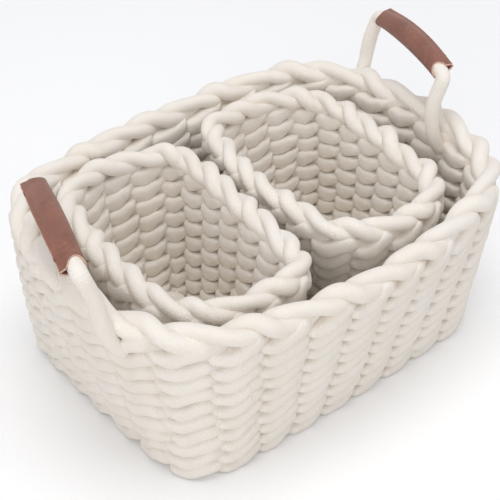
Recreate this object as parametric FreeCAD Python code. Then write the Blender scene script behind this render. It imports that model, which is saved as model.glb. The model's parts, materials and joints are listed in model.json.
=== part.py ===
import FreeCAD, Part
import math
import os

# Nested set of three hand-woven cotton-rope storage baskets.
# A large basket with two leather-gripped carry handles holds two small baskets side by side.
# Every wall is built the way it is woven: upright stakes, and courses of two strands (one on
# each face of the stakes) laid round them one above the other, under a braided rim.
# Origin: centre of the large basket's underside. X runs along its long side, Z is up.
# All sizes are in millimetres.

V = FreeCAD.Vector
UP = V(0, 0, 1)
OUTPUT = "parts"

# ---------------------------------------------------------------- driving sizes: weave
STAKE_DIAMETER = 5.0        # upright cord, squeezed thin between the two strands
STAKE_CLEARANCE = 0.2       # between a stake and the strands beside it
STAKE_LIFT = 1.0            # a stake's lower end, above the basket's underside
STRAND_ROUND = 2.5          # rounded edges of a strand
MAT_JOINT = 0.3             # between two turns of the base mat
MIN_CORNER = 6.0            # tightest corner that the rope turns

# ---------------------------------------------------------------- driving sizes: large basket
# A basket's plan is a bowed rounded rectangle, kept as
# (half length X, half width Y, corner radius, bow of each side).
# The large basket is set out from the inside of its rim, and its wall grows outwards from there.
LARGE_INSIDE = (156.4, 116.4)
LARGE_FLARE = (31.45, 27.45)    # how much narrower each half of the inside is at the foot
LARGE_CORNER = 48.0         # inside the rim
LARGE_FOOT_CORNER = 13.75   # inside the wall, at the foot
LARGE_BOW = 12.0
LARGE_FOOT_BOW = 1.5
LARGE_WALL = 24.5           # across both strands of a course
LARGE_COURSES = 9
LARGE_PITCH = 12.8          # height of one course
LARGE_MAT = 12.8            # thickness of the base mat
LARGE_MAT_TURN = 24.6       # width of one turn of the base mat
LARGE_STAKES = 30
LARGE_RIM_GAP = 8.8         # bare stakes between the top course and the rim
LARGE_RIM_HEIGHT = 28.0
LARGE_RIM_WIDTH = 28.0
LARGE_RIM_ROUND = 9.0

# ---------------------------------------------------------------- driving sizes: small baskets
# Each fills half of the inside of the large one. Their rims' outer faces are set out from it.
SMALL_TO_LEG = 5.7          # from the end of a small rim, before it is turned, to a handle's leg
SMALL_SIDE_ROOM = 8.9       # from the side of a small rim, before it is turned, to the large rim
SMALL_CORNER_LESS = 2.5     # a small rim's corner is that much tighter than the large one's inside
SMALL_FLARE_LESS = (13.95, -2.05)    # a small basket flares that much less than the large one
SMALL_FOOT_CORNER = 36.0    # outside the wall, at the foot
SMALL_BOW = 6.0
SMALL_FOOT_BOW = 2.0
SMALL_WALL = 20.0
SMALL_COURSES = 8
SMALL_BELOW_RIM = 12.0      # from the large rim's top down to a small one's
SMALL_MAT = 12.4
SMALL_MAT_TURN = 12.0
SMALL_STAKES = 20
SMALL_RIM_GAP = 5.0
SMALL_RIM_HEIGHT = 23.0
SMALL_RIM_WIDTH = 23.0
SMALL_RIM_ROUND = 8.0
SMALL_TURN = -7.0           # both stand a little askew, in degrees about Z
SMALL_SPACING = 0.8         # between the two small rims, where they come closest

# ---------------------------------------------------------------- driving sizes: carry handles
HANDLE_ROPE = 11.0          # diameter of the handle rope
HANDLE_TO_RIM = 0.3         # between the rope and the rim that it passes
HANDLE_OUTER_Y = 66.0       # where the leg outside the rim stands (right-hand handle)
HANDLE_INNER_Y = -36.0      # where the leg inside the rim stands (right-hand handle)
GRIP_TO_RIM = 3.6           # between the rim's top and the grip, folded down over it
HANDLE_ARCH = 26.0          # from that flex line up to the grip's centre
HANDLE_BEND_INSIDE = 1.7    # radius inside each of the rope's two bends
HANDLE_LEAN = 20.0          # the arch leans outwards, in degrees
FLEX_CLEARANCE = 0.3        # between the arch's rounded end and the rope that goes on below
TUCK_DIAMETER = 6.4         # the rope, squeezed, where it passes under the rim into the wall
TUCK_SAG = 0.3              # the rope's rounded turn hangs below its tucked end
TUCK_TO_STAKE = 0.5         # between the rope's tucked end and the leaning stakes

# ---------------------------------------------------------------- driving sizes: leather grips
GRIP_LEATHER = 1.6          # thickness of the hide
GRIP_CLEARANCE = 0.3        # between rope and hide
GRIP_END = 0.4              # from each end of the straight rope to the grip's end
SEAM_HEIGHT = 3.6           # how far the two edges of the hide stand out as a seam
SEAM_SLIT = 0.3             # between the two edges
SEAM_ANGLE = 35.0           # the seam's direction round the rope, up from the arch's outer face
TACK_INSET = 6.0            # from the grip's end to a thread tack
TACK_DIAMETER = 1.4
TACK_HEAD_DIAMETER = 2.8
TACK_HEAD_HEIGHT = 0.8
TACK_CLEARANCE = 0.05


class Basket:
    """The sizes of one basket, and the plan of its mid-wall at any height."""

    def __init__(self, name, floor, foot, brim, wall, courses, pitch, mat, mat_turn, stakes,
                 rim_gap, rim_height, rim_width, rim_round):
        self.name = name
        self.floor = floor
        self.foot = foot
        self.brim = brim
        self.wall = wall
        self.courses = courses
        self.pitch = pitch
        self.mat = mat
        self.mat_turn = mat_turn
        self.stakes = stakes
        self.rim_gap = rim_gap
        self.rim_height = rim_height
        self.rim_width = rim_width
        self.rim_round = rim_round
        self.rim_bottom = floor + courses * pitch + rim_gap
        self.rim_top = self.rim_bottom + rim_height
        self.taper = max(brim[i] - foot[i] for i in (0, 1)) / (self.rim_bottom - floor)
        # The slot between the strands lets the leaning stakes through.
        self.slot = STAKE_DIAMETER + 2 * STAKE_CLEARANCE + pitch * self.taper
        self.strand = (wall - self.slot) / 2

    def plan(self, height):
        """Mid-wall plan at a height, from foot to rim in equal steps."""
        share = (height - self.floor) / (self.rim_bottom - self.floor)
        return tuple(low + (high - low) * share for low, high in zip(self.foot, self.brim))


def widened(plan, distance):
    """The plan offset outwards (or inwards, where distance is negative)."""
    half_x, half_y, corner, bow = plan
    return half_x + distance, half_y + distance, max(corner + distance, MIN_CORNER), bow


def side_radius(plan, across):
    """Radius and centre distance of a bowed side. across is 0 for the X side, 1 for the Y side."""
    half, other = plan[across], plan[1 - across]
    corner, bow = plan[2], plan[3]
    reach = other - corner - bow
    radius = corner + (bow * bow + reach * reach) / (2 * bow)
    return radius, half - radius


def outline(plan, height):
    """A closed wire from the middle of the +X side round: bowed sides and corners, as tangent arcs."""
    half_x, half_y, corner, bow = plan
    radius_x, centre_x = side_radius(plan, 0)
    radius_y, centre_y = side_radius(plan, 1)
    corner_x = half_x - corner - bow
    corner_y = half_y - corner - bow
    end_x = math.atan2(corner_y, corner_x - centre_x)
    end_y = math.atan2(corner_y - centre_y, corner_x)
    # centre, radius and angles of the three arcs of the first quadrant
    arcs = [(centre_x, 0, radius_x, 0, end_x),
            (corner_x, corner_y, corner, end_x, end_y),
            (0, centre_y, radius_y, end_y, math.pi / 2)]
    edges = []
    for sign_x, sign_y in ((1, 1), (-1, 1), (-1, -1), (1, -1)):
        quadrant = []
        for x, y, radius, first, last in arcs:
            points = [V(sign_x * (x + radius * math.cos(angle)),
                        sign_y * (y + radius * math.sin(angle)), height)
                      for angle in (first, (first + last) / 2, last)]
            if sign_x != sign_y:
                points.reverse()
            quadrant.append(Part.Arc(*points).toShape())
        if sign_x != sign_y:
            quadrant.reverse()
        edges += quadrant
    return Part.Wire(edges)


def rounded(solid, radius):
    """The solid with the edges round its flat top and bottom rounded."""
    box = solid.BoundBox
    levels = (box.ZMin, box.ZMax)
    edges = [e for e in solid.Edges
             if e.BoundBox.ZLength < 1e-6 and min(abs(e.BoundBox.ZMin - z) for z in levels) < 1e-6]
    return solid.makeFillet(radius, edges)


def ring(outer_plan, inner_plan, bottom, height, edge_round):
    """A ring of rope: the band between two plans, with rounded edges."""
    band = Part.Face(outline(outer_plan, bottom)).cut(Part.Face(outline(inner_plan, bottom)))
    return rounded(band.Faces[0].extrude(V(0, 0, height)), edge_round)


def slab(plan, bottom, height, edge_round):
    """A filled plan, with rounded edges."""
    return rounded(Part.Face(outline(plan, bottom)).extrude(V(0, 0, height)), edge_round)


def course(basket, index):
    """One course of weave: the strand outside the stakes and the strand inside them."""
    bottom = basket.floor + index * basket.pitch
    plan = basket.plan(bottom + basket.pitch / 2)
    solids = []
    for near, far in ((basket.wall / 2, basket.slot / 2), (-basket.slot / 2, -basket.wall / 2)):
        solids.append(ring(widened(plan, near), widened(plan, far), bottom, basket.pitch,
                           STRAND_ROUND))
    return Part.makeCompound(solids)


def base_mat(basket):
    """The flat base: turns of rope laid one inside another, round a filled middle."""
    first_course = basket.plan(basket.floor + basket.pitch / 2)
    outer = widened(first_course, -basket.wall / 2 - MAT_JOINT)
    solids = []
    while min(outer[:2]) > 2 * basket.mat_turn:
        inner = widened(outer, -basket.mat_turn)
        solids.append(ring(outer, inner, basket.floor, basket.mat, STRAND_ROUND))
        outer = widened(inner, -MAT_JOINT)
    solids.append(slab(outer, basket.floor, basket.mat, STRAND_ROUND))
    return Part.makeCompound(solids)


def stakes(basket):
    """The upright cords in the slot between the strands, from the foot to the rim."""
    low = basket.floor + STAKE_LIFT
    high = basket.rim_bottom
    count = basket.stakes
    feet = outline(basket.plan(low), low).discretize(Number=count + 1)[:count]
    heads = outline(basket.plan(high), high).discretize(Number=count + 1)[:count]
    solids = []
    for foot, head in zip(feet, heads):
        section = Part.Face(Part.Wire(Part.makeCircle(STAKE_DIAMETER / 2, foot, UP)))
        solids.append(section.extrude(head - foot))
    return Part.makeCompound(solids)


def rim_braid(basket):
    """The thick braided edge that closes the wall and covers the stakes' ends."""
    outer = widened(basket.brim, basket.rim_width / 2)
    inner = widened(basket.brim, -basket.rim_width / 2)
    return ring(outer, inner, basket.rim_bottom, basket.rim_height, basket.rim_round)


def basket_nodes(basket):
    """Node name and shape of every piece of one basket."""
    nodes = {basket.name + "_base_mat": base_mat(basket), basket.name + "_stakes": stakes(basket)}
    for index in range(basket.courses):
        nodes["%s_course_%02d" % (basket.name, index + 1)] = course(basket, index)
    nodes[basket.name + "_rim_braid"] = rim_braid(basket)
    return nodes


class Handle:
    """Where the right-hand carry handle stands, worked out from the large basket's rim.

    One leg passes outside the rim and the other inside it. The flex line joins them just
    above the rim, and the arch swings about it.
    """

    def __init__(self, basket):
        radius, self.bow_centre = side_radius(basket.brim, 0)
        away = basket.rim_width / 2 + HANDLE_TO_RIM + HANDLE_ROPE / 2
        grip_radius = HANDLE_ROPE / 2 + GRIP_CLEARANCE + GRIP_LEATHER
        self.flex_height = basket.rim_top + GRIP_TO_RIM + grip_radius
        self.outer = self.beside_rim(radius + away, HANDLE_OUTER_Y)
        self.inner = self.beside_rim(radius - away, HANDLE_INNER_Y)
        self.middle = (self.outer + self.inner) * 0.5
        span = self.outer - self.inner
        self.half_span = span.Length / 2
        self.bend = HANDLE_ROPE / 2 + HANDLE_BEND_INSIDE
        self.yaw = math.degrees(math.atan2(span.y, span.x)) - 90
        self.tuck_height = basket.rim_bottom - basket.rim_gap / 2
        lean = basket.taper * (basket.rim_gap + TUCK_DIAMETER) / 2
        self.tuck_length = away - STAKE_DIAMETER / 2 - lean - TUCK_TO_STAKE

    def beside_rim(self, radius, y):
        """A point at a distance from the rim's bowed side, at a given Y."""
        return V(self.bow_centre + math.sqrt(radius * radius - y * y), y, self.flex_height)

    def inwards(self, point):
        """The horizontal direction from a leg straight towards the rim's mid-line."""
        normal = V(point.x - self.bow_centre, point.y, 0).normalize()
        return normal * (-1 if point is self.outer else 1)

    def placed(self, shape):
        """A shape from the arch's own frame (Y along the flex line, Z up the arch), in place."""
        leaned = shape.copy()
        leaned.rotate(V(0, 0, 0), V(0, 1, 0), HANDLE_LEAN)
        leaned.rotate(V(0, 0, 0), UP, self.yaw)
        leaned.translate(self.middle)
        return leaned


def handle_arch(handle):
    """The rope above the flex line: two legs with ball ends, two bends and the run in the grip."""
    half, rise, bend = handle.half_span, HANDLE_ARCH, handle.bend
    slant = bend * math.sqrt(0.5)
    edges = [Part.LineSegment(V(0, -half, 0), V(0, -half, rise - bend)).toShape()]
    for side in (-1, 1):
        corner = V(0, side * (half - bend), rise - bend)
        leg_end = corner + V(0, side * bend, 0)
        middle = corner + V(0, side * slant, slant)
        edges.append(Part.Arc(leg_end, middle, corner + V(0, 0, bend)).toShape())
    edges.insert(2, Part.LineSegment(V(0, -half + bend, rise), V(0, half - bend, rise)).toShape())
    edges.append(Part.LineSegment(V(0, half, rise - bend), V(0, half, 0)).toShape())
    path = Part.Wire(Part.__sortEdges__(edges))
    section = Part.Wire(Part.makeCircle(HANDLE_ROPE / 2, V(0, -half, 0), UP))
    rope = path.makePipeShell([section], True, False)
    for side in (-1, 1):
        rope = rope.fuse(Part.makeSphere(HANDLE_ROPE / 2, V(0, side * half, 0)))
    return handle.placed(rope.removeSplitter())


def handle_tails(handle):
    """The rope below the flex line: beside the rim, then squeezed under it into the wall."""
    top = handle.flex_height - HANDLE_ROPE / 2 - FLEX_CLEARANCE
    turn = handle.tuck_height + (HANDLE_ROPE - TUCK_DIAMETER) / 2 - TUCK_SAG
    solids = []
    for leg in (handle.outer, handle.inner):
        foot = V(leg.x, leg.y, turn)
        rope = Part.makeCylinder(HANDLE_ROPE / 2, top - turn, foot, UP)
        rope = rope.fuse(Part.makeSphere(HANDLE_ROPE / 2, foot))
        tuck = Part.makeCylinder(TUCK_DIAMETER / 2, handle.tuck_length,
                                 V(leg.x, leg.y, handle.tuck_height), handle.inwards(leg))
        solids.append(rope.fuse(tuck).removeSplitter())
    return Part.makeCompound(solids)


def seam_frame(shape):
    """Turn a shape built with its seam along +X to the seam's own angle round the rope."""
    turned = shape.copy()
    turned.rotate(V(0, 0, 0), V(0, 1, 0), -SEAM_ANGLE)
    turned.translate(V(0, 0, HANDLE_ARCH))
    return turned


def grip_length(handle):
    return 2 * (handle.half_span - handle.bend - GRIP_END)


def leather_grip(handle):
    """Hide wrapped round the rope, its two long edges standing out together as a seam."""
    length = grip_length(handle)
    bore = HANDLE_ROPE / 2 + GRIP_CLEARANCE
    outer = bore + GRIP_LEATHER
    start = V(0, -length / 2, 0)
    along = V(0, 1, 0)
    seam_width = 2 * GRIP_LEATHER + SEAM_SLIT
    seam = Part.makeBox(outer + SEAM_HEIGHT, length, seam_width, V(0, -length / 2, -seam_width / 2))
    hide = Part.makeCylinder(outer, length, start, along).fuse(seam)
    slit = Part.makeBox(outer + 2 * SEAM_HEIGHT, length, SEAM_SLIT, V(0, -length / 2, -SEAM_SLIT / 2))
    hide = hide.cut(Part.makeCylinder(bore, length, start, along)).cut(slit)
    for y in tack_places(handle):
        hide = hide.cut(tack_shaft(y, TACK_DIAMETER + 2 * TACK_CLEARANCE, seam_width))
    return handle.placed(seam_frame(hide))


def tack_places(handle):
    reach = grip_length(handle) / 2 - TACK_INSET
    return (-reach, reach)


def tack_shaft(y, diameter, length):
    """A short rod through both plies of the seam, halfway up it."""
    seam_middle = HANDLE_ROPE / 2 + GRIP_CLEARANCE + GRIP_LEATHER + SEAM_HEIGHT / 2
    return Part.makeCylinder(diameter / 2, length, V(seam_middle, y, -length / 2), UP)


def grip_tacks(handle):
    """A thread tack near each end of the grip, pulled tight through both plies of the seam."""
    seam_width = 2 * GRIP_LEATHER + SEAM_SLIT
    solids = []
    for y in tack_places(handle):
        shaft = tack_shaft(y, TACK_DIAMETER, seam_width)
        head = tack_shaft(y, TACK_HEAD_DIAMETER, TACK_HEAD_HEIGHT)
        offset = (seam_width + TACK_HEAD_HEIGHT) / 2
        for side in (-1, 1):
            shaft = shaft.fuse(head.translated(V(0, 0, side * offset)))
        solids.append(handle.placed(seam_frame(shaft.removeSplitter())))
    return Part.makeCompound(solids)


def handle_nodes(handle):
    """Both handles: the left one is the right one turned half round about Z."""
    pieces = {"handle_rope": handle_arch(handle), "handle_tails": handle_tails(handle),
              "handle_leather_grip": leather_grip(handle), "handle_grip_tacks": grip_tacks(handle)}
    nodes = {}
    for name, shape in pieces.items():
        nodes["right_" + name] = shape
        turned = shape.copy()
        turned.rotate(V(0, 0, 0), UP, 180)
        nodes["left_" + name] = turned
    return nodes


def small_basket_nodes(name, side):
    """One small basket, standing on the large one's base mat, turned and moved to its side."""
    wall_top = large.rim_top - SMALL_BELOW_RIM - SMALL_RIM_HEIGHT - SMALL_RIM_GAP
    pitch = (wall_top - large.mat) / SMALL_COURSES
    end_room = HANDLE_TO_RIM + HANDLE_ROPE + SMALL_TO_LEG
    half_x = (LARGE_INSIDE[0] - end_room - SMALL_SPACING / 2) / 2
    half_y = LARGE_INSIDE[1] - SMALL_SIDE_ROOM
    flare = [large_flare - less for large_flare, less in zip(LARGE_FLARE, SMALL_FLARE_LESS)]
    brim_outside = (half_x, half_y, LARGE_CORNER - SMALL_CORNER_LESS, SMALL_BOW)
    foot_outside = (half_x - flare[0], half_y - flare[1], SMALL_FOOT_CORNER, SMALL_FOOT_BOW)
    basket = Basket(name, large.mat, widened(foot_outside, -SMALL_WALL / 2),
                    widened(brim_outside, -SMALL_RIM_WIDTH / 2), SMALL_WALL, SMALL_COURSES, pitch,
                    SMALL_MAT, SMALL_MAT_TURN, SMALL_STAKES, SMALL_RIM_GAP, SMALL_RIM_HEIGHT,
                    SMALL_RIM_WIDTH, SMALL_RIM_ROUND)
    half_gap = half_x + SMALL_SPACING / 2
    centre = V(side * half_gap / math.cos(math.radians(SMALL_TURN)), 0, 0)
    nodes = basket_nodes(basket)
    for shape in nodes.values():
        shape.rotate(V(0, 0, 0), UP, SMALL_TURN)
        shape.translate(centre)
    return nodes


brim_inside = (*LARGE_INSIDE, LARGE_CORNER, LARGE_BOW)
foot_inside = (LARGE_INSIDE[0] - LARGE_FLARE[0], LARGE_INSIDE[1] - LARGE_FLARE[1],
               LARGE_FOOT_CORNER, LARGE_FOOT_BOW)
large = Basket("large", 0.0, widened(foot_inside, LARGE_WALL / 2),
               widened(brim_inside, LARGE_RIM_WIDTH / 2), LARGE_WALL, LARGE_COURSES, LARGE_PITCH,
               LARGE_MAT, LARGE_MAT_TURN, LARGE_STAKES, LARGE_RIM_GAP, LARGE_RIM_HEIGHT,
               LARGE_RIM_WIDTH, LARGE_RIM_ROUND)
carry_handle = Handle(large)

all_nodes = basket_nodes(large)
all_nodes.update(small_basket_nodes("left_small", -1))
all_nodes.update(small_basket_nodes("right_small", 1))
all_nodes.update(handle_nodes(carry_handle))

os.makedirs(OUTPUT, exist_ok=True)
for node, shape in all_nodes.items():
    shape.exportStep(os.path.join(OUTPUT, node + ".step"))

flex = carry_handle.middle
print("%d nodes" % len(all_nodes))
print("right handle flexes about (%.3f, %.3f, %.3f), turned %.3f degrees from Y"
      % (flex.x, flex.y, flex.z, carry_handle.yaw))
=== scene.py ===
import json
import math

import bpy
import numpy as np
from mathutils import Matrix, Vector


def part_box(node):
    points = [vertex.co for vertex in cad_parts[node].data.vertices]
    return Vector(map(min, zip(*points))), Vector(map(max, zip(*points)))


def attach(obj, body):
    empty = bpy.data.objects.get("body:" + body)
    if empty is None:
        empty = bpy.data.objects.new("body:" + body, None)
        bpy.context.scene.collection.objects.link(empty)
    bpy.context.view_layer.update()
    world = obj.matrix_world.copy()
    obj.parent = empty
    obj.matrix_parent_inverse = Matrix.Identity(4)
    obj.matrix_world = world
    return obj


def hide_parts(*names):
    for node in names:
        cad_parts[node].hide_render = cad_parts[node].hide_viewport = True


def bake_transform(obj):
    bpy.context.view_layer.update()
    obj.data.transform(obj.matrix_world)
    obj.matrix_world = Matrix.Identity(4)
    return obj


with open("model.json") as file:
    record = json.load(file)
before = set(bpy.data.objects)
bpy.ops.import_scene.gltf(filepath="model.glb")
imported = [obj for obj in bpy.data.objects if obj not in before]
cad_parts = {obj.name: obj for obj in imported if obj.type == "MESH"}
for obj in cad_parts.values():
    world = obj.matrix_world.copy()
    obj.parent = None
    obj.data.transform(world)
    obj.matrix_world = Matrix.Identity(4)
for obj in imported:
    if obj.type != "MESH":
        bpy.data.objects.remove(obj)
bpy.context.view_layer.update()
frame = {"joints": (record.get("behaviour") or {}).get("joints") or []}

# ================================================================ base mats
# Each basket starts from a flat mat: turns of two cotton ropes twined round the spokes, one turn
# outside another. The rope is a knitted tube, off-white, matt, soft and easily squeezed.

MM = 0.001
UP = np.array([0.0, 0.0, 1.0])
KNIT_RIB = 1.6 * MM         # from one course of knit to the next, along the rope
KNIT_WALE = 2.2 * MM        # from one column of stitches to the next, round the rope
KNIT_DEPTH = 0.42 * MM
COTTON = (0.94, 0.885, 0.815)
COTTON_WORN_AND_PAINTED_SHADE = (0.91, 0.83, 0.72)  # darker cotton for older, handled patches, and painted shade between stitches


class Socket:
    """A node's output that takes part in sums, so that shader maths reads as an expression."""

    def __init__(self, tree, link):
        self.tree, self.link = tree, link

    def math(self, operation, *values):
        return Shader(self.tree).node("ShaderNodeMath", {"operation": operation},
                                      dict(enumerate(values)))

    def __add__(self, other):
        return self.math("ADD", self, other)

    def __radd__(self, other):
        return self.math("ADD", other, self)

    def __sub__(self, other):
        return self.math("SUBTRACT", self, other)

    def __rsub__(self, other):
        return self.math("SUBTRACT", other, self)

    def __mul__(self, other):
        return self.math("MULTIPLY", self, other)

    def __truediv__(self, other):
        return self.math("DIVIDE", self, other)

    def __pow__(self, other):
        return self.math("POWER", self, other)


class Shader:
    """Adds nodes to one material's tree and links them."""

    def __init__(self, tree):
        self.tree = tree

    def node(self, kind, settings=None, inputs=None, output=0):
        """A node of a kind: its settings are made first, then its sockets are set or linked."""
        made = self.tree.nodes.new(kind)
        for name, value in (settings or {}).items():
            setattr(made, name, value)
        for name, value in (inputs or {}).items():
            if isinstance(value, Socket):
                self.tree.links.new(value.link, made.inputs[name])
            else:
                made.inputs[name].default_value = value
        return Socket(self.tree, made.outputs[output])

    def blend(self, share, first, second):
        """A colour from first to second as share goes from 0 to 1."""
        return self.node("ShaderNodeMix", {"data_type": "RGBA", "clamp_factor": True},
                         {0: share, 6: first, 7: second}, 2)

    def feed(self, name, value):
        """Links a value to the surface's own socket, or sets it there."""
        surface = self.tree.nodes["Principled BSDF"]
        if isinstance(value, Socket):
            self.tree.links.new(value.link, surface.inputs[name])
        else:
            surface.inputs[name].default_value = value


def new_material(name):
    """A material with only its surface shader, and what builds it."""
    material = bpy.data.materials.new(name)
    material.use_nodes = True
    return material, Shader(material.node_tree)


def cotton_material(name, clean, worn_and_painted_shade):
    """Knitted cotton, from the rope's own UV in metres along and round it.

    Stitch height is a cosine of the distance along the rope, its phase bent into a V across each
    column of stitches. Broad noise shifts the colour at random between clean and darker cotton, and
    the grooves between the stitch ribs are darkened towards the darker cotton too, as painted shade.
    """
    material, shader = new_material(name)
    place = shader.node("ShaderNodeSeparateXYZ", None, {0: shader.node("ShaderNodeUVMap")})
    around = Socket(shader.tree, place.link.node.outputs[1])
    turns = around / KNIT_WALE
    chevron = turns.math("ABSOLUTE", turns.math("FRACT", turns) - 0.5) * 2
    phase = (place / KNIT_RIB + chevron * 0.5) * (2 * math.pi)
    rib = phase.math("COSINE", phase) * 0.5 + 0.5
    groove = chevron ** 4
    spot = shader.node("ShaderNodeTexCoord", None, None, 3)
    fuzz = shader.node("ShaderNodeTexNoise", None, {"Vector": spot, "Scale": 1100.0, "Detail": 3.0})
    patch = shader.node("ShaderNodeTexNoise", None, {"Vector": spot, "Scale": 26.0, "Detail": 4.0})
    fold = shader.node("ShaderNodeTexNoise", None, {"Vector": spot, "Scale": 160.0, "Detail": 2.0})
    height = rib * 0.55 - groove * 0.2 + fuzz * 0.45 + fold * 0.9
    # Random handled patches, plus painted shade: the knit grooves between ribs get the darker
    # colour.
    patches_and_painted_groove_shade = (patch - 0.42) * 1.6 + (1 - rib) * 0.22
    bump = shader.node("ShaderNodeBump", None,
                       {"Height": height, "Distance": KNIT_DEPTH, "Strength": 0.9})
    shader.feed("Base Color", shader.blend(patches_and_painted_groove_shade, (*clean, 1), (*worn_and_painted_shade, 1)))
    shader.feed("Normal", bump)
    shader.feed("Roughness", 0.93)
    shader.feed("Specular IOR Level", 0.15)
    shader.feed("Sheen Weight", 0.10)
    shader.feed("Sheen Roughness", 0.5)
    return material


COTTON_ROPE = cotton_material("knitted_cotton_rope", COTTON, COTTON_WORN_AND_PAINTED_SHADE)


def tube(path, side, rise, half_side, half_rise, closed, sides=16, fullness=0.85):
    """A rope's surface, carried along a path.

    Its section is a superellipse: side * half_side * cos(a)^fullness + rise * half_rise *
    sin(a)^fullness, each power keeping its sign. An open rope is closed at both ends by a last
    ring of no width. Returns vertices, quads and the UV of each quad's corners, in metres.
    """
    count = len(path)
    angle = np.arange(sides) * (2 * np.pi / sides)
    cosine, sine = np.cos(angle), np.sin(angle)
    cosine = np.sign(cosine) * np.abs(cosine) ** fullness
    sine = np.sign(sine) * np.abs(sine) ** fullness
    if not closed:
        ends = np.ones(count)
        ends[[0, -1]] = 0.01
        half_side, half_rise = half_side * ends, half_rise * ends
    across = side[:, None, :] * (half_side[:, None] * cosine)[:, :, None]
    upward = rise[:, None, :] * (half_rise[:, None] * sine)[:, :, None]
    points = (path[:, None, :] + across + upward).reshape(-1, 3)
    steps = np.linalg.norm(np.roll(path, -1, 0) - path, axis=1)
    reach = np.concatenate([[0], np.cumsum(steps)])
    rows = count if closed else count - 1
    if closed:
        reach *= round(reach[-1] / KNIT_RIB) * KNIT_RIB / reach[-1]
    row, column = np.meshgrid(np.arange(rows), np.arange(sides), indexing="ij")
    row, column = row.ravel(), column.ravel()
    after, beside = (row + 1) % count, (column + 1) % sides
    quads = np.stack([row * sides + column, after * sides + column,
                      after * sides + beside, row * sides + beside], 1)
    girth = np.pi * float(np.mean(half_side + half_rise))
    turn = np.round(girth / KNIT_WALE) * KNIT_WALE / sides
    uv = np.stack([reach[np.stack([row, row + 1, row + 1, row], 1)],
                   np.stack([column, column, column + 1, column + 1], 1) * turn], 2)
    return points, quads, uv


def rope_piece(name, surfaces, material, slot, body, *nodes):
    """One piece of several rope surfaces, which stands for its CAD nodes and rides on a body."""
    starts = np.cumsum([0] + [len(points) for points, _, _ in surfaces])
    points = np.concatenate([surface[0] for surface in surfaces])
    quads = np.concatenate([surface[1] + start for surface, start in zip(surfaces, starts)])
    uv = np.concatenate([surface[2] for surface in surfaces])
    mesh = bpy.data.meshes.new(name)
    mesh.vertices.add(len(points))
    mesh.vertices.foreach_set("co", points.astype(np.float32).ravel())
    mesh.loops.add(quads.size)
    mesh.loops.foreach_set("vertex_index", quads.astype(np.int32).ravel())
    mesh.polygons.add(len(quads))
    mesh.polygons.foreach_set("loop_start", np.arange(0, quads.size, 4, dtype=np.int32))
    mesh.update(calc_edges=True)
    layer = mesh.uv_layers.new(name="along_and_round")
    layer.data.foreach_set("uv", uv.astype(np.float32).ravel())
    mesh.polygons.foreach_set("use_smooth", np.ones(len(quads), dtype=bool))
    mesh.materials.append(material)
    piece = bpy.data.objects.new(name, mesh)
    bpy.context.scene.collection.objects.link(piece)
    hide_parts(*nodes)
    if body:
        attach(piece, body)
    return piece


def plan_curve(plan, share):
    """Points and outward normals at shares (0 to 1) of the way round a bowed rounded rectangle.

    plan is half length, half width, bow of the sides, and the corner radius of each quadrant,
    from +X +Y round. A quadrant is three tangent arcs: half of the bowed X side, the corner, and
    half of the bowed Y side. The distance round picks the arc; its centre, radius and angle
    give the point.
    """
    half_x, half_y, bow = plan[:3]
    corner = plan[3:7]
    corner_x, corner_y = half_x - corner - bow, half_y - corner - bow
    radius_x = corner + (bow ** 2 + corner_y ** 2) / (2 * bow)
    radius_y = corner + (bow ** 2 + corner_x ** 2) / (2 * bow)
    end_x = np.arctan2(corner_y, corner_x - half_x + radius_x)
    end_y = np.arctan2(corner_y - half_y + radius_y, corner_x)
    side_x, bend = radius_x * end_x, corner * (end_y - end_x)
    whole = side_x + bend + radius_y * (np.pi / 2 - end_y)
    stops = np.cumsum(whole)
    distance = np.mod(share, 1.0) * stops[-1]
    q = np.minimum(np.searchsorted(stops, distance, side="right"), 3)
    distance = distance - (stops - whole)[q]
    distance = np.where(q % 2 == 1, whole[q] - distance, distance)
    first, second = distance < side_x[q], distance < (side_x + bend)[q]
    angle = np.where(first, distance / radius_x[q],
                     np.where(second, end_x[q] + (distance - side_x[q]) / corner[q],
                              end_y[q] + (distance - side_x[q] - bend[q]) / radius_y[q]))
    radius = np.where(first, radius_x[q], np.where(second, corner[q], radius_y[q]))
    centre_x = np.where(first, half_x - radius_x[q], np.where(second, corner_x[q], 0.0))
    centre_y = np.where(first, 0.0, np.where(second, corner_y[q], half_y - radius_y[q]))
    sign_x = np.where((q == 0) | (q == 3), 1.0, -1.0)
    sign_y = np.where(q < 2, 1.0, -1.0)
    flat = np.zeros_like(angle)
    normal = np.stack([sign_x * np.cos(angle), sign_y * np.sin(angle), flat], 1)
    points = np.stack([sign_x * (centre_x + radius * np.cos(angle)),
                       sign_y * (centre_y + radius * np.sin(angle)), flat], 1)
    return points, normal


def wander(random, share, amount, waves):
    """Hand-made unevenness round a basket: a sum of waves, each of which meets itself again."""
    total = np.zeros_like(share)
    for wave in range(1, waves + 1):
        total += random.normal() * np.sin(2 * np.pi * (wave * share + random.random()))
    return amount * total / math.sqrt(waves / 2)


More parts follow.
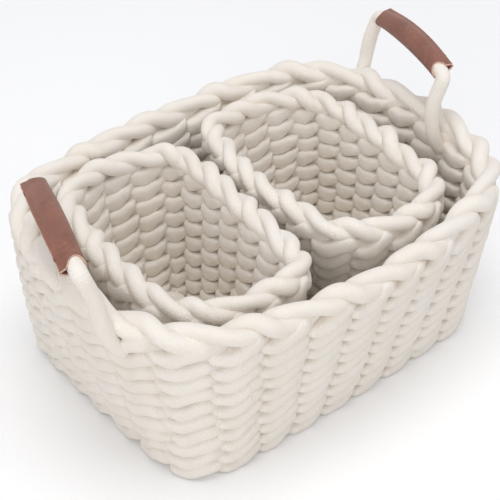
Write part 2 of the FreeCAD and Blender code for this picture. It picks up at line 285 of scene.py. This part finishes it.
class Basket:
    """One basket's sizes, from its CAD nodes and its plans, and where it stands."""

    def __init__(self, name, turn, stakes, courses, wall, foot, brim, dip, pushes):
        self.name, self.body = name, name + "_basket"
        self.stakes, self.courses, self.wall, self.dip = stakes, courses, wall * MM, dip * MM
        self.foot, self.brim, self.pushes = np.array(foot) * MM, np.array(brim) * MM, pushes
        low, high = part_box(name + "_base_mat")
        rim_low, rim_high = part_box(name + "_rim_braid")
        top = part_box("%s_course_%02d" % (name, courses))[1]
        self.centre = np.array((rim_low + rim_high) / 2) * (1, 1, 0)
        self.turn = math.radians(turn)
        self.floor, self.mat = low.z, high.z - low.z
        self.pitch = (top.z - low.z) / courses
        self.rim_low, self.rim_high = rim_low.z, rim_high.z
        self.seed = sum(map(ord, name))

    def plan(self, height):
        """The plan at mid-wall at a height, from foot to brim in equal steps."""
        share = (height - self.floor) / (self.rim_low - self.floor)
        return self.foot + (self.brim - self.foot) * share

    def saddle(self, share, height):
        """The rim rides up at the short ends and sags along the long sides, and the upper
        courses follow it, by the square of their height."""
        reach = (height - self.floor) / (self.rim_low - self.floor)
        return self.dip * np.cos(4 * np.pi * share) * reach ** 2

    def pushed(self, share, height):
        """How far out the soft wall has been pushed: a bell curve round each push, growing with
        the square of the height."""
        reach = (height - self.floor) / (self.rim_low - self.floor)
        total = np.zeros_like(share)
        for place, width, amount in self.pushes:
            away = np.mod(share - place + 0.5, 1) - 0.5
            total += amount * MM * np.exp(-(away / width) ** 2)
        return total * reach ** 2

    def turned(self, directions):
        c, s = math.cos(self.turn), math.sin(self.turn)
        return directions @ np.array([[c, s, 0], [-s, c, 0], [0, 0, 1]])

    def stand(self, points):
        """Points from the basket's own frame, turned and moved to where it stands."""
        return self.turned(points) + self.centre


LEG = 0.561                 # the left handle's outer leg, as a share of the way round the rim

# Half length, half width, bow, and four corners from +X +Y round, at mid-wall, in millimetres.
# The small baskets' corners are tight in the middle of the large one and rounder in its corners.
# Then the rim's dip, and each push: its share of the way round, its width and how far out.
baskets = [
    Basket("large", 0, 30, 9, 24.5, (137.2, 101.2, 1.5, 26, 26, 26, 26),
           (170.4, 130.4, 12, 62, 62, 62, 62), 5,
           [(0.36, 0.15, -10), (LEG, 0.03, 4), (LEG - 0.5, 0.03, 4)]),
    Basket("left_small", -7, 20, 8, 20, (42, 68, 2, 26, 26, 26, 26),
           (58, 96, 6, 20, 34, 34, 18), 2, [(0, 0.11, -6)]),
    Basket("right_small", -7, 20, 8, 20, (42, 68, 2, 26, 26, 26, 26),
           (58, 96, 6, 34, 20, 24, 34), 2, [(0, 0.11, -5), (0.5, 0.11, 5.5)])]

TWINE_SAMPLES = 14          # points of a strand from one stake to the next
OVERLAP = math.radians(22)  # a strand stays on its face that much past the crossing
TRAIL = math.radians(14)    # and it is thinnest that much later still
SQUEEZE = 0.32              # how much lower a strand gets there
SPREAD = 0.25               # and how much wider
FLATNESS = 0.62             # of a rope's section in the wall: 1 is round, and less is squarer


def settle(points, floor):
    """Rope that would sink below a basket's floor is pressed flat on it: the depth below a
    height of 2 mm is cut to three tenths."""
    depth = np.maximum(floor + 2 * MM - points[:, 2], 0)
    points[:, 2] += depth * 0.7
    return points


def twined_pair(basket, random, plan, stakes, place, lift, depth, half_lift, half_depth):
    """Both strands of one twined course.

    Round the course, p = pi * stakes * share. A strand's depth is depth * cos(p - OVERLAP)^0.6,
    keeping its sign: outside one stake and inside the next. Its lift is lift * (0.8 sin p -
    0.7 cos^2 p - 0.4 cos^3 p + 0.4): it sags over each stake, more on the outside, and climbs
    into the next crossing, over the other strand. By c = |sin(p - OVERLAP - TRAIL)|^6 it is
    lower, and wider. The other strand has p + pi. place(points, normal, depth, lift, share)
    gives the path.
    """
    share = np.arange(TWINE_SAMPLES * stakes) / (TWINE_SAMPLES * stakes)
    points, normal = plan_curve(plan, share)
    jitter = wander(random, share, 0.13, stakes)
    surfaces = []
    for strand in (0, 1):
        angle = np.pi * (stakes * share + strand) + jitter
        cosine, facing = np.cos(angle), np.cos(angle - OVERLAP)
        out = depth * np.sign(facing) * np.abs(facing) ** 0.6
        climb = lift * (0.8 * np.sin(angle) - 0.7 * cosine ** 2 - 0.4 * cosine ** 3 + 0.4)
        climb = climb + wander(random, share, 0.3 * MM, stakes)
        pinch = np.abs(np.sin(angle - OVERLAP - TRAIL)) ** 6
        swell = 1 + wander(random, share, 0.025, stakes)
        path, side, rise = place(points, normal, out, climb, share)
        points_of_rope, quads, uv = tube(
            basket.stand(path), basket.turned(side), basket.turned(rise),
            half_depth * swell * (1 + SPREAD * pinch), half_lift * swell * (1 - SQUEEZE * pinch),
            True, 20, FLATNESS)
        surfaces.append((settle(points_of_rope, basket.floor), quads, uv))
    return surfaces


SPOKE_STEP = 26 * MM        # a turn crosses two spokes for each step in its half length and width
MAT_LIFT, MAT_DEPTH = 0.28, 0.20            # how far a strand strays, of the turn and of the mat
MAT_HALF_LIFT, MAT_HALF_DEPTH = 0.52, 0.29  # and half its own size, of the same two
FILL_HALF = 0.42            # half height of the rope in the middle, of the mat
FILL_OVER = 1.5 * MM        # it is squeezed in that much over the open width


def weave_base(basket):
    """Twined turns lying flat, one inside another, and one straight rope in the middle."""
    random = np.random.default_rng(basket.seed)
    middle = basket.floor + basket.mat / 2

    def flat(points, normal, out, climb, share):
        path = points + normal * climb[:, None] + UP * (middle + out)[:, None]
        return path, np.tile(UP, (len(path), 1)), normal * -1

    turn = basket.pitch
    plan = basket.plan(basket.floor + basket.pitch / 2)
    inset = basket.wall / 2 + turn / 2
    surfaces = []
    while plan[1] - inset > 0 and plan[0] - inset > turn * 0.3:
        half_x, half_y = plan[0] - inset, plan[1] - inset
        corner = min(max(plan[3] - inset, turn * 0.8), half_x - 1.0 * MM)
        ring = np.array([half_x, half_y, 0.4 * MM] + [corner] * 4)
        spokes = 2 * max(round((half_x + half_y) / SPOKE_STEP), 2)
        surfaces += twined_pair(basket, random, ring, spokes, flat, turn * MAT_LIFT,
                                basket.mat * MAT_DEPTH, turn * MAT_HALF_LIFT,
                                basket.mat * MAT_HALF_DEPTH)
        inset += turn
    hole = plan[:2] - inset + turn / 2      # half length and width of what is left open
    lengthwise = int(hole[1] > hole[0])
    path = np.zeros((15, 3))
    path[:, lengthwise] = np.linspace(-1, 1, 15) * hole[lengthwise]
    path[:, 2] = middle
    across = np.zeros((15, 3))
    across[:, 1 - lengthwise] = 1 - 2 * lengthwise
    surfaces.append(tube(basket.stand(path), np.tile(UP, (15, 1)), basket.turned(across),
                         np.full(15, basket.mat * FILL_HALF), np.full(15, hole.min() + FILL_OVER),
                         False))
    rope_piece(basket.name + "_base_rope", surfaces, COTTON_ROPE, "cotton_rope", basket.body,
               basket.name + "_base_mat")


for basket in baskets:
    weave_base(basket)

# ================================================================ stakes
# The stakes are the same rope. They stand up from the base between the two strands of every
# course, squeezed flat, and show only through the small slits of the weave.

STAKE_HALF = (4.6 * MM, 3.2 * MM)       # half width along the wall, and through it
STAKE_ENDS = 4 * MM                     # above the floor, and into the rim


def set_stakes(basket):
    """Every stake follows the wall's mid-line up, at its own share of the way round."""
    share = np.arange(basket.stakes) / basket.stakes
    levels = np.linspace(basket.floor + STAKE_ENDS, basket.rim_low + STAKE_ENDS, 12)
    columns = []
    for height in levels:
        points, normal = plan_curve(basket.plan(height), share)
        points += normal * basket.pushed(share, height)[:, None]
        points[:, 2] = height + basket.saddle(share, height)
        columns.append(points)
    columns = np.array(columns)
    surfaces = []
    for stake in range(basket.stakes):
        side = np.tile(normal[stake], (len(levels), 1))
        along = np.cross(UP, side)
        width, depth = (np.full(len(levels), half) for half in STAKE_HALF)
        surfaces.append(tube(basket.stand(columns[:, stake]), basket.turned(along),
                             basket.turned(side), width, depth, False, 12))
    rope_piece(basket.name + "_stakes_rope", surfaces, COTTON_ROPE, "stake_cord", basket.body,
               basket.name + "_stakes")


for basket in baskets:
    set_stakes(basket)

# ================================================================ walls
# Each course of a wall is two ropes twined round the stakes. The courses are beaten down so that
# each rests on the one below, and only small dark slits are left where two strands cross.


WALL_LIFT, WALL_DEPTH = 0.33, 0.20              # how far a strand strays, of course and wall
WALL_HALF_LIFT, WALL_HALF_DEPTH = 0.54, 0.27    # and half its own size, of the same two


def standing_pair(basket, random, low, high):
    """A twined course of the wall between two heights, which leans and sags as the wall does."""
    height, tall = (low + high) / 2, high - low
    slope = (basket.brim[0] - basket.foot[0]) / (basket.rim_low - basket.floor)

    def upright(points, normal, out, climb, share):
        level = height + climb + basket.saddle(share, height)
        across = out + slope * climb + basket.pushed(share, height)
        path = points + normal * across[:, None] + UP * level[:, None]
        return path, normal, np.tile(UP, (len(path), 1))

    return twined_pair(basket, random, basket.plan(height), basket.stakes, upright,
                       tall * WALL_LIFT, basket.wall * WALL_DEPTH, tall * WALL_HALF_LIFT,
                       basket.wall * WALL_HALF_DEPTH)


def weave_course(basket, index):
    """One course, with its own slight unevenness."""
    random = np.random.default_rng(basket.seed + 100 * (index + 1))
    low = basket.floor + index * basket.pitch
    node = "%s_course_%02d" % (basket.name, index + 1)
    rope_piece(node + "_rope", standing_pair(basket, random, low, low + basket.pitch), COTTON_ROPE,
               "cotton_rope", basket.body, node)


for basket in baskets:
    for index in range(basket.courses):
        weave_course(basket, index)

# ================================================================ rims
# The wall is closed by a thick edge of two ropes twisted together the other way from the wall.
# One rope shows as short fat humps over the edge, and the other as long low ones between them.

RIM_SAMPLES = 28            # points of a rim rope in one twist, which covers two stakes
HUMP_PROUD = 1.2 * MM       # how much more the short humps rise


def braid_rim(basket, level, rope, hump, across, upright, outwards):
    """Both ropes of one rim, and the pair of strands drawn up under it.

    Round the rim, p = pi * stakes * share, and the angle is p + 0.35 cos p, which slows one
    rope over the edge and hurries the other. A rope is -across * cos(angle) out from the rim's
    middle, which is outwards of the wall's, and upright * sin(angle) up from it. The middle is
    level above the wall's top. rope and hump are the two ropes' radii, and the hump's rope
    stands a little prouder.
    """
    random = np.random.default_rng(basket.seed + 7)
    count = RIM_SAMPLES * basket.stakes // 2
    share = np.arange(count) / count
    points, normal = plan_curve(basket.brim, share)
    middle = basket.rim_low + level + basket.saddle(share, basket.rim_low)
    middle = middle + wander(random, share, 0.5 * MM, 12)
    turning = np.pi * basket.stakes * share + wander(random, share, 0.16, basket.stakes)
    turning = turning + 0.35 * np.cos(turning)
    surfaces = standing_pair(basket, random, basket.floor + basket.courses * basket.pitch,
                             basket.rim_low + level - rope)
    for half_turn, radius, proud in ((0, rope, 0), (np.pi, hump, HUMP_PROUD)):
        angle = turning + half_turn
        out = outwards - across * np.cos(angle) + wander(random, share, 0.4 * MM, 20)
        out = out + basket.pushed(share, basket.rim_low)
        lift = (upright + proud) * np.sin(angle)
        path = points + normal * out[:, None] + UP * (middle + lift)[:, None]
        forward = np.roll(path, -1, 0) - np.roll(path, 1, 0)
        forward /= np.linalg.norm(forward, axis=1)[:, None]
        side = normal - forward * np.sum(normal * forward, 1)[:, None]
        side /= np.linalg.norm(side, axis=1)[:, None]
        width = radius * (1 + wander(random, share, 0.03, basket.stakes))
        surfaces.append(tube(basket.stand(path), basket.turned(side),
                             basket.turned(np.cross(side, forward)), width, width, True, 18, 0.95))
    rope_piece(basket.name + "_rim_rope", surfaces, COTTON_ROPE, "cotton_rope", basket.body,
               basket.name + "_rim_braid")


braid_rim(baskets[0], level=10 * MM, rope=5.6 * MM, hump=6.3 * MM, across=4.4 * MM,
          upright=3.6 * MM, outwards=2 * MM)
for basket in baskets[1:]:
    braid_rim(basket, level=13 * MM, rope=5.2 * MM, hump=5.8 * MM, across=4.0 * MM,
              upright=3.4 * MM, outwards=0)

# ================================================================ handle ropes
# Each carry handle is one more length of the rope. It comes out of the wall under the rim, goes
# up beside it, runs through the leather grip and goes down into the wall on the rim's other side.

HANDLE_ROPE = 5.6 * MM      # its radius
ARCH_RISE = 26 * MM         # from the flex line up to the grip's centre
ARCH_LEAN = math.radians(20)
GRIP_BOW = 3.8 * MM         # the grip's middle stands that much above its ends
BEND = 9 * MM               # from the arch's corner to where its bend starts


def smooth_line(points, steps):
    """A uniform cubic B-spline through a route, its end points kept by repeating them."""
    route = np.concatenate([points[:1], points[:1], points, points[-1:], points[-1:]])
    t = np.arange(steps) / steps
    weights = np.stack([(1 - t) ** 3, 3 * t ** 3 - 6 * t ** 2 + 4,
                        -3 * t ** 3 + 3 * t ** 2 + 3 * t + 1, t ** 3], 1) / 6
    spans = np.stack([route[first:len(route) - 3 + first] for first in range(4)], 1)
    line = np.einsum("sk,nkd->nsd", weights, spans).reshape(-1, 3)
    return np.concatenate([line, route[-1:]])


def carried_frames(path, first):
    """Side and rise vectors carried along a path with no twist, by turning each into the next."""
    forward = np.gradient(path, axis=0)
    forward /= np.linalg.norm(forward, axis=1)[:, None]
    side = [first - forward[0] * np.dot(first, forward[0])]
    for before, after in zip(forward[:-1], forward[1:]):
        turned = side[-1] - after * np.dot(side[-1], after)
        side.append(turned / np.linalg.norm(turned))
    side = np.array(side)
    return side, np.cross(forward, side)


class Handle:
    """Where one handle stands: its flex line from the CAD joint, and its two legs beside the rim.

    w runs along the flex line towards the leg outside the rim, and z up from it. Above the flex
    line the arch leans outwards.
    """

    def __init__(self, side, seam):
        joint = next(j for j in frame["joints"] if j["name"] == side + "_handle_fold")
        self.name, self.seam = side, math.radians(seam)
        self.middle = np.array(joint["pos_m"])
        self.along = np.array(joint["axis"])
        self.out = np.cross(self.along, UP)
        low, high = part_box(side + "_handle_rope")
        reach = (high.y - low.y) / 2 - HANDLE_ROPE
        self.half_span = reach / abs(self.along[1])
        self.up = UP * math.cos(ARCH_LEAN) + self.out * math.sin(ARCH_LEAN)
        self.face = self.out * math.cos(ARCH_LEAN) - UP * math.sin(ARCH_LEAN)
        self.foot = -(self.middle[2] - (baskets[0].rim_low - 4.4 * MM))

    def place(self, w, z, inwards=0.0):
        """A point of the handle's own plane, in place. Below the flex line it doesn't lean."""
        w, z = np.broadcast_arrays(w, z)
        rise = np.where((z > 0)[..., None], z[..., None] * self.up, z[..., None] * UP)
        return self.middle + w[..., None] * self.along + rise - inwards * self.out

    def grip_line(self, w):
        """The grip's centre line: level, with a slight bow."""
        reach = self.half_span - BEND
        return self.place(w, ARCH_RISE + GRIP_BOW * (1 - (w / reach) ** 2))


handles = [Handle("left", 22), Handle("right", 52)]


def handle_rope(handle):
    """The whole rope of one handle, from its end in the wall outside the rim to the one inside."""
    half, foot = handle.half_span, handle.foot
    heights = np.array([foot, foot + 4 * MM, foot + 10 * MM, foot + 18 * MM, foot + 29 * MM,
                        foot + 38 * MM, 6 * MM, ARCH_RISE * 0.6, ARCH_RISE - 1 * MM])
    tucked = np.array([15, 10, 6.5, 3.5, 1, 0, 0, 0, 0])[:, None] * MM
    outer = list(handle.place(np.full(9, half), heights, tucked))
    inner = list(handle.place(np.full(9, -half), heights, -tucked))
    run = list(handle.grip_line(np.linspace(half - BEND, BEND - half, 7)))
    path = smooth_line(np.array(outer + run + inner[::-1]), 7)
    side, rise = carried_frames(path, handle.along)
    random = np.random.default_rng(31 + len(handle.name))
    width = HANDLE_ROPE * (1 + wander(random, np.linspace(0, 1, len(path)), 0.02, 9))
    surfaces = [tube(path, side, rise, width, width, False, 20, 1.0)]
    rope = rope_piece(handle.name + "_handle_cotton", surfaces, COTTON_ROPE, "cotton_rope", None,
                      handle.name + "_handle_rope", handle.name + "_handle_tails")
    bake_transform(rope)


for handle in handles:
    handle_rope(handle)

# ================================================================ leather grips
# Each grip is a strip of smooth brown hide wrapped round the rope. Its two long edges are pinched
# together as a standing seam, its cut edges are raw and tan, and its ends are cut a little hollow.

HIDE = 1.5 * MM             # thickness
HIDE_RADIUS = 5.9 * MM      # to the middle of the hide's thickness, at the grip's ends
SEAM_REACH = 9.8 * MM       # from the rope's centre to the seam's edge
SEAM_WIDTH = math.radians(15)
SEAM_GAP = math.radians(4.2)            # half the angle between the two edges
GRIP_SWELL, GRIP_FLARE = 0.28, 0.07     # how much wider its middle and its very ends are
BROWN = (0.30, 0.125, 0.085)
BROWN_DARK = (0.20, 0.078, 0.052)
BROWN_WORN = (0.38, 0.18, 0.13)
RAW_EDGE = (0.74, 0.52, 0.40)


def hide_material():
    """Smooth dyed hide: fine pebbled grain, cloudy dye and a low waxy gloss."""
    material, shader = new_material("brown_leather_hide")
    spot = shader.node("ShaderNodeTexCoord", None, None, 3)
    grain = shader.node("ShaderNodeTexVoronoi", {"feature": "SMOOTH_F1"},
                        {"Vector": spot, "Scale": 1300.0, "Smoothness": 0.6})
    pores = shader.node("ShaderNodeTexNoise", None, {"Vector": spot, "Scale": 2600.0, "Detail": 2.0})
    cloud = shader.node("ShaderNodeTexNoise", None,
                        {"Vector": spot, "Scale": 55.0, "Detail": 5.0, "Roughness": 0.6})
    scuff = shader.node("ShaderNodeTexNoise", None,
                        {"Vector": spot, "Scale": 240.0, "Detail": 3.0, "Distortion": 1.5})
    dyed = shader.blend((cloud - 0.35) * 2.2, (*BROWN_DARK, 1), (*BROWN, 1))
    worn = shader.blend((scuff - 0.55) * 2.5, dyed, (*BROWN_WORN, 1))
    height = grain * 0.6 + pores * 0.4 + scuff * 0.8
    shader.feed("Base Color", worn)
    shader.feed("Roughness", scuff * 0.25 + 0.36)
    shader.feed("Normal", shader.node("ShaderNodeBump", None,
                                      {"Height": height, "Distance": 0.12 * MM, "Strength": 0.7}))
    shader.feed("Specular IOR Level", 0.42)
    return material


def raw_edge_material():
    """The cut edge of the hide: undyed fibre, tan, with darker layers."""
    material, shader = new_material("raw_leather_edge")
    spot = shader.node("ShaderNodeTexCoord", None, None, 3)
    fibre = shader.node("ShaderNodeTexNoise", None, {"Vector": spot, "Scale": 900.0, "Detail": 4.0})
    shader.feed("Base Color", shader.blend((fibre - 0.2) * 2.5, (*BROWN_WORN, 1), (*RAW_EDGE, 1)))
    shader.feed("Roughness", 0.8)
    shader.feed("Normal", shader.node("ShaderNodeBump", None,
                                      {"Height": fibre, "Distance": 0.15 * MM, "Strength": 0.8}))
    return material


HIDE_LEATHER = hide_material()
HIDE_EDGE = raw_edge_material()


def hide_frame(handle, w):
    """The grip's centre, seam direction and cross direction at places w along it."""
    centre = handle.grip_line(w)
    seam = handle.face * math.cos(handle.seam) + handle.up * math.sin(handle.seam)
    return centre, seam, np.cross(handle.along, seam)


def leather_grip(handle):
    """The wrapped hide as a sheet, which Solidify gives its thickness.

    At an angle f from the seam the sheet's radius is HIDE_RADIUS + (SEAM_REACH - HIDE_RADIUS) *
    exp(-(f / SEAM_WIDTH)^2), so both edges run out together, and in the grip's middle
    HIDE_RADIUS is more by GRIP_SWELL. The ends reach 2.2 cos 2f + 1.2 cos f mm further than
    the mean length, and flare by GRIP_FLARE in their last few millimetres.
    """
    around, lengthwise = 97, 61
    spread = np.sin(np.pi / 2 * np.linspace(-1, 1, around))
    angle = np.pi + (np.pi - SEAM_GAP) * spread
    from_seam = np.pi - np.abs(np.pi - angle)
    share = np.linspace(-1, 1, lengthwise)[:, None]
    reach = handle.half_span - BEND + 1.2 * MM
    reach = reach + (2.2 * np.cos(2 * angle) + 1.2 * np.cos(angle)) * MM
    w = share * reach
    body = HIDE_RADIUS * (1 + GRIP_SWELL * (1 - share ** 2))
    radius = body + (SEAM_REACH - body) * np.exp(-(from_seam / SEAM_WIDTH) ** 2)
    radius = radius * (1 + GRIP_FLARE * np.abs(share) ** 14)
    centre, seam, cross = hide_frame(handle, w)
    points = (centre + seam * (radius * np.cos(angle))[..., None]
              + cross * (radius * np.sin(angle))[..., None])
    row, column = np.meshgrid(np.arange(lengthwise - 1), np.arange(around - 1), indexing="ij")
    first = (row * around + column).ravel()
    quads = np.stack([first, first + around, first + around + 1, first + 1], 1)
    mesh = bpy.data.meshes.new(handle.name + "_grip_hide")
    mesh.from_pydata(points.reshape(-1, 3).tolist(), [], quads.tolist())
    mesh.polygons.foreach_set("use_smooth", np.ones(len(quads), dtype=bool))
    mesh.materials.append(HIDE_LEATHER)
    mesh.materials.append(HIDE_EDGE)
    grip = bpy.data.objects.new(handle.name + "_grip_hide", mesh)
    bpy.context.scene.collection.objects.link(grip)
    wall = grip.modifiers.new("thickness", "SOLIDIFY")
    wall.thickness, wall.offset, wall.material_offset_rim = HIDE, 0, 1
    wall.use_even_offset = True
    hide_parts(handle.name + "_handle_leather_grip")
    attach(grip, handle.name + "_handle")


for handle in handles:
    leather_grip(handle)

# ================================================================ thread tacks
# Near each end of a grip a few turns of dark waxed thread are drawn through both plies of the
# seam and knotted, which keeps the seam shut.

THREAD = 0.42 * MM          # its radius
TACK_INSET = 8 * MM         # from a grip's end to its tack
TACK_DEPTH = 2.5 * MM       # from the seam's edge to the tack
LOOP_PITCH = 0.9 * MM
LOOP_HALF = (2.7 * MM, 1.9 * MM)
THREAD_BROWN = (0.055, 0.022, 0.015)


def thread_material():
    """Waxed thread, from its UV: two plies that wind round each other, close and a little glossy,
    the grooves between them darkened as painted shade.
    """
    material, shader = new_material("waxed_thread")
    place = shader.node("ShaderNodeSeparateXYZ", None, {0: shader.node("ShaderNodeUVMap")})
    around = Socket(shader.tree, place.link.node.outputs[1])
    ply = (place / (0.9 * MM) + around / (1.3 * MM)) * (2 * math.pi)
    twist = ply.math("SINE", ply) * 0.5 + 0.5
    # Painted shade: the colour follows the ply height, darker in the grooves between the plies.
    shader.feed("Base Color", shader.blend(twist, (*THREAD_BROWN, 1), (0.12, 0.055, 0.035, 1)))
    shader.feed("Roughness", 0.5)
    shader.feed("Normal", shader.node("ShaderNodeBump", None,
                                      {"Height": twist, "Distance": 0.1 * MM, "Strength": 0.8}))
    return material


WAXED_THREAD = thread_material()


def thread_tack(handle):
    """Three loops round both plies near each end: ellipses across the seam."""
    angle = np.linspace(0, 2 * np.pi, 40, endpoint=False)
    surfaces = []
    for end in (-1, 1):
        for loop in (-1, 0, 1):
            w = end * (handle.half_span - BEND - TACK_INSET) + loop * LOOP_PITCH
            centre, seam, cross = hide_frame(handle, np.array(w))
            middle = centre + seam * (SEAM_REACH - TACK_DEPTH)
            path = (middle + seam * (LOOP_HALF[0] * np.cos(angle))[:, None]
                    + cross * (LOOP_HALF[1] * np.sin(angle))[:, None])
            outward = seam * np.cos(angle)[:, None] + cross * np.sin(angle)[:, None]
            width = np.full(len(path), THREAD)
            surfaces.append(tube(path, outward, np.tile(-handle.along, (len(path), 1)), width, width,
                                 True, 10, 1.0))
    rope_piece(handle.name + "_tack_thread", surfaces, WAXED_THREAD, "waxed_thread",
               handle.name + "_handle", handle.name + "_handle_grip_tacks")


for handle in handles:
    thread_tack(handle)

# ================================================================ floor, light and camera
# A plain white floor that keeps a soft shadow near the baskets and fades to white paper further
# off, three large soft lamps, and the camera above the front left corner.

WHITE, BLACK = (1, 1, 1, 1), (0, 0, 0, 1)
PAPER = (0.80, 0.79, 0.78, 1)       # what the floor reflects on to the baskets
SKY = (0.56, 0.566, 0.586, 1)       # and what light comes from all round
FADE_FROM, FADE_TO = 0.6, 1.8       # metres from the middle, where the floor turns to plain white

floor_mesh = bpy.data.meshes.new("floor")
floor_mesh.from_pydata([(-4, -4, 0), (4, -4, 0), (4, 4, 0), (-4, 4, 0)], [], [(0, 1, 2, 3)])
floor = bpy.data.objects.new("floor", floor_mesh)
bpy.context.scene.collection.objects.link(floor)


def seen_rays(shader):
    """1 for camera, glossy and transmission rays, which show the white backdrop, and 0 for light."""
    rays = shader.node("ShaderNodeLightPath").link.node.outputs
    camera, glossy, through = (Socket(shader.tree, rays[name]) for name in
                               ("Is Camera Ray", "Is Glossy Ray", "Is Transmission Ray"))
    return camera.math("MAXIMUM", camera.math("MAXIMUM", camera, glossy), through)


paper, shader = new_material("white_paper")
seen = seen_rays(shader)
spot = shader.node("ShaderNodeTexCoord", None, None, 3)
away = shader.node("ShaderNodeVectorMath", {"operation": "LENGTH"}, {0: spot}, 1)
haze = seen * shader.node("ShaderNodeMapRange", None, {0: away, 1: FADE_FROM, 2: FADE_TO})
near_paper = shader.blend(seen, PAPER, WHITE)
near_glow = shader.blend(seen, BLACK, (0.05, 0.05, 0.05, 1))
shader.feed("Base Color", shader.blend(haze, near_paper, BLACK))
shader.feed("Emission Color", shader.blend(haze, near_glow, WHITE))
shader.feed("Emission Strength", 1.0)
shader.feed("Roughness", 0.95)
shader.feed("Specular IOR Level", 0.0)
floor_mesh.materials.append(paper)

world = bpy.data.worlds.new("studio")
bpy.context.scene.world = world
world.use_nodes = True
sky = Shader(world.node_tree)
light = sky.blend(seen_rays(sky), SKY, WHITE)
world.node_tree.links.new(light.link, world.node_tree.nodes["Background"].inputs["Color"])


def soft_box(name, place, size, energy):
    """A square soft lamp at a place, facing the baskets."""
    lamp = bpy.data.lights.new(name, "AREA")
    lamp.energy, lamp.size = energy, size
    holder = bpy.data.objects.new(name, lamp)
    bpy.context.scene.collection.objects.link(holder)
    holder.location = place
    aim = Vector((0, 0, 0.08)) - Vector(place)
    holder.rotation_euler = aim.to_track_quat("-Z", "Y").to_euler()


soft_box("overhead", (-0.1, -0.1, 2.0), 1.2, 14)
soft_box("left_front", (-1.9, -1.2, 0.8), 1.4, 13)
soft_box("right_front", (1.3, -2.0, 0.8), 1.4, 4.5)

camera_data = bpy.data.cameras.new("camera")
camera = bpy.data.objects.new("camera", camera_data)
bpy.context.scene.collection.objects.link(camera)
bpy.context.scene.camera = camera
AZIMUTH, ELEVATION, DISTANCE = math.radians(-40.19), math.radians(37.32), 0.9197
aim = Vector((-0.0013, -0.0039, 0.075))
away = Vector((math.sin(AZIMUTH) * math.cos(ELEVATION), -math.cos(AZIMUTH) * math.cos(ELEVATION),
               math.sin(ELEVATION)))
camera.location = aim + away * DISTANCE
camera.rotation_euler = (math.pi / 2 - ELEVATION, 0, AZIMUTH)
camera_data.sensor_width = 36
camera_data.lens = 87.4
camera_data.shift_x = -0.010
camera_data.shift_y = 0.0076
bpy.context.scene.view_settings.view_transform = "Standard"
